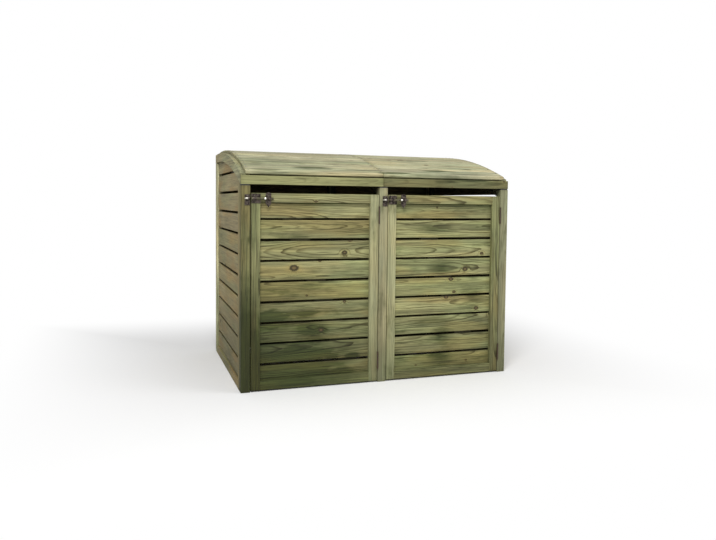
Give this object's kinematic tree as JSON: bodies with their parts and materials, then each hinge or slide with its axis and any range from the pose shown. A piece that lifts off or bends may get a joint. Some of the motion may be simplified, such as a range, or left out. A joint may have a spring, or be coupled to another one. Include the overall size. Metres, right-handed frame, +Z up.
{
  "type": "wheelie bin store",
  "caption": "Timber wheelie bin store with slatted sides and doors, a slide bolt on each door, and curved boarded lids hinged along the rear top edge.",
  "frame": {"origin": "on the ground under the centre of the overall box", "axes": "+X to the right seen from the front, -Y towards the doors, +Z up"},
  "size_m": [1.5, 1.0384, 1.2602],
  "materials": {
    "front_timber": "sawn, pressure treated, matt",
    "side_timber": "sawn, pressure treated, matt",
    "roof_timber": "sawn, weathered, matt",
    "hinge_steel": "dark, satin",
    "bolt_fitting": "dark, satin",
    "bolt_steel": "zinc plated",
    "pad_rubber": "matt",
    "screw_steel": "zinc plated"
  },
  "bodies": {
    "store": {"front_post_left": "front_timber", "front_post_centre": "front_timber", "front_post_right": "front_timber", "rear_post_left": "side_timber", "rear_post_centre": "side_timber", "rear_post_right": "side_timber", "left_front_stile": "side_timber", "left_bottom_rail": "side_timber", "left_side_slats": "side_timber", "post_pads": "pad_rubber", "right_front_stile": "side_timber", "right_bottom_rail": "side_timber", "right_side_slats": "side_timber", "side_fixing_battens": "side_timber", "side_lid_rests": "side_timber", "centre_lid_rest": "front_timber", "rear_slats": "side_timber", "rear_rails": "side_timber", "door_hinge_post_leaves": "hinge_steel", "door_hinge_pins": "hinge_steel", "lid_hinge_rail_leaves": "hinge_steel", "lid_hinge_pins": "hinge_steel", "bolt_keeps": "bolt_fitting", "frame_screws": "screw_steel"},
    "door_left": {"door_left_latch_stile": "front_timber", "door_left_hinge_stile": "front_timber", "door_left_top_rail": "front_timber", "door_left_bottom_rail": "front_timber", "door_left_slats": "front_timber", "door_left_brace": "front_timber", "door_left_hinge_leaves": "hinge_steel", "door_left_bolt_guides": "bolt_fitting", "door_left_screws": "screw_steel"},
    "lid_left": {"lid_left_outer_rib": "front_timber", "lid_left_inner_rib": "front_timber", "lid_left_fascia": "front_timber", "lid_left_cross_rails": "front_timber", "lid_left_boards": "roof_timber", "lid_left_hinge_leaves": "hinge_steel", "lid_left_screws": "screw_steel"},
    "bolt_left": {"bolt_left": "bolt_steel"},
    "door_right": {"door_right_latch_stile": "front_timber", "door_right_hinge_stile": "front_timber", "door_right_top_rail": "front_timber", "door_right_bottom_rail": "front_timber", "door_right_slats": "front_timber", "door_right_brace": "front_timber", "door_right_hinge_leaves": "hinge_steel", "door_right_bolt_guides": "bolt_fitting", "door_right_screws": "screw_steel"},
    "lid_right": {"lid_right_outer_rib": "front_timber", "lid_right_inner_rib": "front_timber", "lid_right_fascia": "front_timber", "lid_right_cross_rails": "front_timber", "lid_right_boards": "roof_timber", "lid_right_hinge_leaves": "hinge_steel", "lid_right_screws": "screw_steel"},
    "bolt_right": {"bolt_right": "bolt_steel"}
  },
  "joints": [
    {"name": "door_left_hinge", "type": "hinge", "parent": "store", "child": "door_left", "pos_m": [-0.025, -0.49375, 0.503], "axis": [0, 0, 1], "range_deg": [0, 110]},
    {"name": "door_right_hinge", "type": "hinge", "parent": "store", "child": "door_right", "pos_m": [0.702, -0.49375, 0.503], "axis": [0, 0, 1], "range_deg": [0, 110]},
    {"name": "lid_left_hinge", "type": "hinge", "parent": "store", "child": "lid_left", "pos_m": [-0.375, 0.51525, 1.18789], "axis": [-1, 0, 0], "range_deg": [0, 100]},
    {"name": "lid_right_hinge", "type": "hinge", "parent": "store", "child": "lid_right", "pos_m": [0.375, 0.51525, 1.18789], "axis": [-1, 0, 0], "range_deg": [0, 100]},
    {"name": "bolt_left_slide", "type": "slide", "parent": "door_left", "child": "bolt_left", "axis": [-1, 0, 0], "range_m": [0, 0.026]},
    {"name": "bolt_right_slide", "type": "slide", "parent": "door_right", "child": "bolt_right", "axis": [-1, 0, 0], "range_m": [0, 0.026]}
  ]
}
